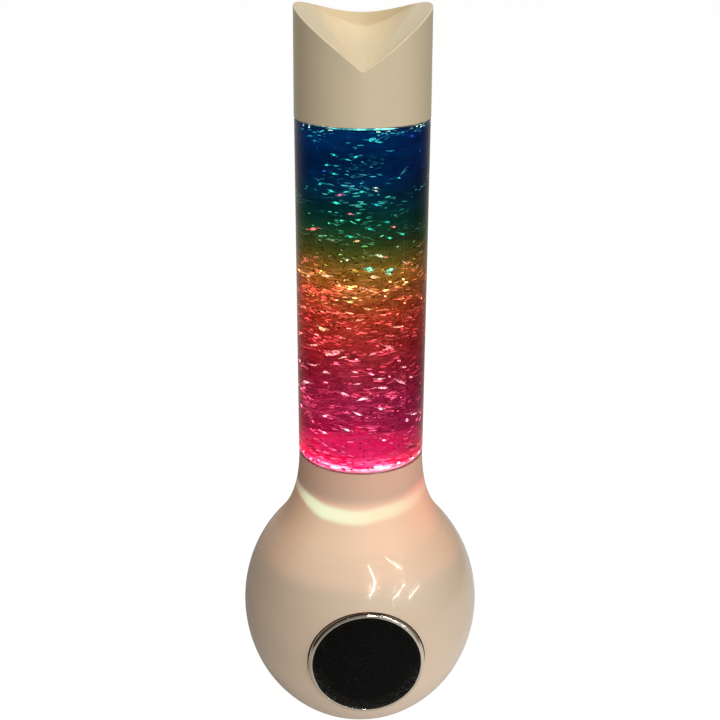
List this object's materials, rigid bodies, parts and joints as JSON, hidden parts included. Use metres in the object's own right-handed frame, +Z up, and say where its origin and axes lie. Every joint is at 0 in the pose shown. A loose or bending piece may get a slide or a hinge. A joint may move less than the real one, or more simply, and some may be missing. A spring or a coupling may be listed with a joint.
{
  "type": "glitter lamp",
  "caption": "Free-standing glitter lamp: liquid bottle with magnetic stirrer on a ball-shaped base with a loudspeaker, rear buttons, rocker switch and sockets.",
  "frame": {"origin": "centre of the foot's underside, on the surface that the lamp stands on", "axes": "+Z up along the lamp's axis; -Y out of the loudspeaker; +Y is the side with the buttons and sockets"},
  "size_m": [0.1366, 0.1353, 0.3984],
  "materials": {
    "shell_plastic": "gloss moulded ABS",
    "white_plastic": "moulded",
    "dark_plastic": "fine texture",
    "button_plastic": "gloss",
    "rubber": "matt",
    "screw_steel": "zinc plated",
    "ballast": "as cast",
    "board": "solder mask",
    "components": "moulded",
    "diffuser": "frosted",
    "led": "encapsulated",
    "motor_steel": "plain",
    "magnet": "ground ferrite",
    "clear_bottle": "clear polished",
    "clear_plastic": "clear moulded",
    "clear_silicone": "translucent",
    "tinted_film": "printed colour fade",
    "liquid": "clear liquid with glitter",
    "chrome_trim": "polished plating",
    "black_mesh": "satin black",
    "black_steel": "black paint",
    "coil": "enamelled copper winding",
    "cone_paper": "coated paper",
    "lead": "insulated lead"
  },
  "bodies": {
    "lamp": {"cap": "shell_plastic", "base_shell": "shell_plastic", "bottom_cover": "dark_plastic", "rubber_foot": "rubber", "cover_screws": "screw_steel", "ballast_weight": "ballast", "main_board": "board", "board_components": "components", "board_screws": "screw_steel", "lamp_chassis": "white_plastic", "chassis_screws": "screw_steel", "light_diffuser": "diffuser", "led_board": "board", "leds": "led", "motor_can": "motor_steel", "motor_end_cap": "dark_plastic", "motor_field_magnets": "magnet", "motor_screws": "screw_steel", "bottle": "clear_bottle", "rainbow_film": "tinted_film", "glitter_liquid": "liquid", "bottle_plug": "white_plastic", "plug_seal": "rubber", "bottle_gasket": "clear_silicone", "impeller_pin": "motor_steel", "impeller_retainer": "clear_plastic", "trim_ring": "chrome_trim", "speaker_grille": "black_mesh", "speaker_frame": "black_steel", "speaker_screws": "screw_steel", "speaker_magnet": "magnet", "speaker_yoke": "motor_steel", "speaker_surround": "rubber", "speaker_spider": "cone_paper", "control_panel": "shell_plastic", "control_board": "board", "panel_screws": "screw_steel", "tact_switches": "components", "rocker_housing": "dark_plastic", "dc_inlet": "components", "aux_jack": "components", "speaker_leads": "lead", "lamp_leads": "lead"},
    "impeller": {"impeller": "clear_plastic", "impeller_magnets": "magnet"},
    "rotor": {"motor_shaft": "motor_steel", "motor_armature": "motor_steel", "magnet_carrier": "white_plastic", "drive_magnets": "magnet"},
    "cone": {"speaker_cone": "cone_paper", "voice_coil": "coil", "dust_cap": "cone_paper"},
    "button_minus": {"button_minus": "button_plastic"},
    "button_play": {"button_play": "button_plastic"},
    "button_plus": {"button_plus": "button_plastic"},
    "rocker": {"rocker_paddle": "dark_plastic"}
  },
  "joints": [
    {"name": "motor_spin", "type": "hinge", "parent": "lamp", "child": "rotor", "pos_m": [0, 0, 0.12], "axis": [0, 0, 1], "continuous": true},
    {"name": "impeller_spin", "type": "hinge", "parent": "lamp", "child": "impeller", "pos_m": [0, 0, 0.163], "axis": [0, 0, 1], "continuous": true},
    {"name": "cone_travel", "type": "slide", "parent": "lamp", "child": "cone", "axis": [0, -1, 0], "range_m": [-0.001, 0.001], "stiffness_N_per_m": 800},
    {"name": "button_minus_push", "type": "slide", "parent": "lamp", "child": "button_minus", "axis": [0, -1, 0], "range_m": [0, 0.001], "stiffness_N_per_m": 300, "springref_m": -0.0005},
    {"name": "button_play_push", "type": "slide", "parent": "lamp", "child": "button_play", "axis": [0, -1, 0], "range_m": [0, 0.001], "stiffness_N_per_m": 300, "springref_m": -0.0005},
    {"name": "button_plus_push", "type": "slide", "parent": "lamp", "child": "button_plus", "axis": [0, -1, 0], "range_m": [0, 0.001], "stiffness_N_per_m": 300, "springref_m": -0.0005},
    {"name": "rocker_tip", "type": "hinge", "parent": "lamp", "child": "rocker", "pos_m": [0, 0.06623, 0.051], "axis": [0, 0, 1], "range_deg": [0, 16]}
  ],
  "couplings": [
    {"joint": "impeller_spin", "follows": "motor_spin", "ratio": 1}
  ]
}
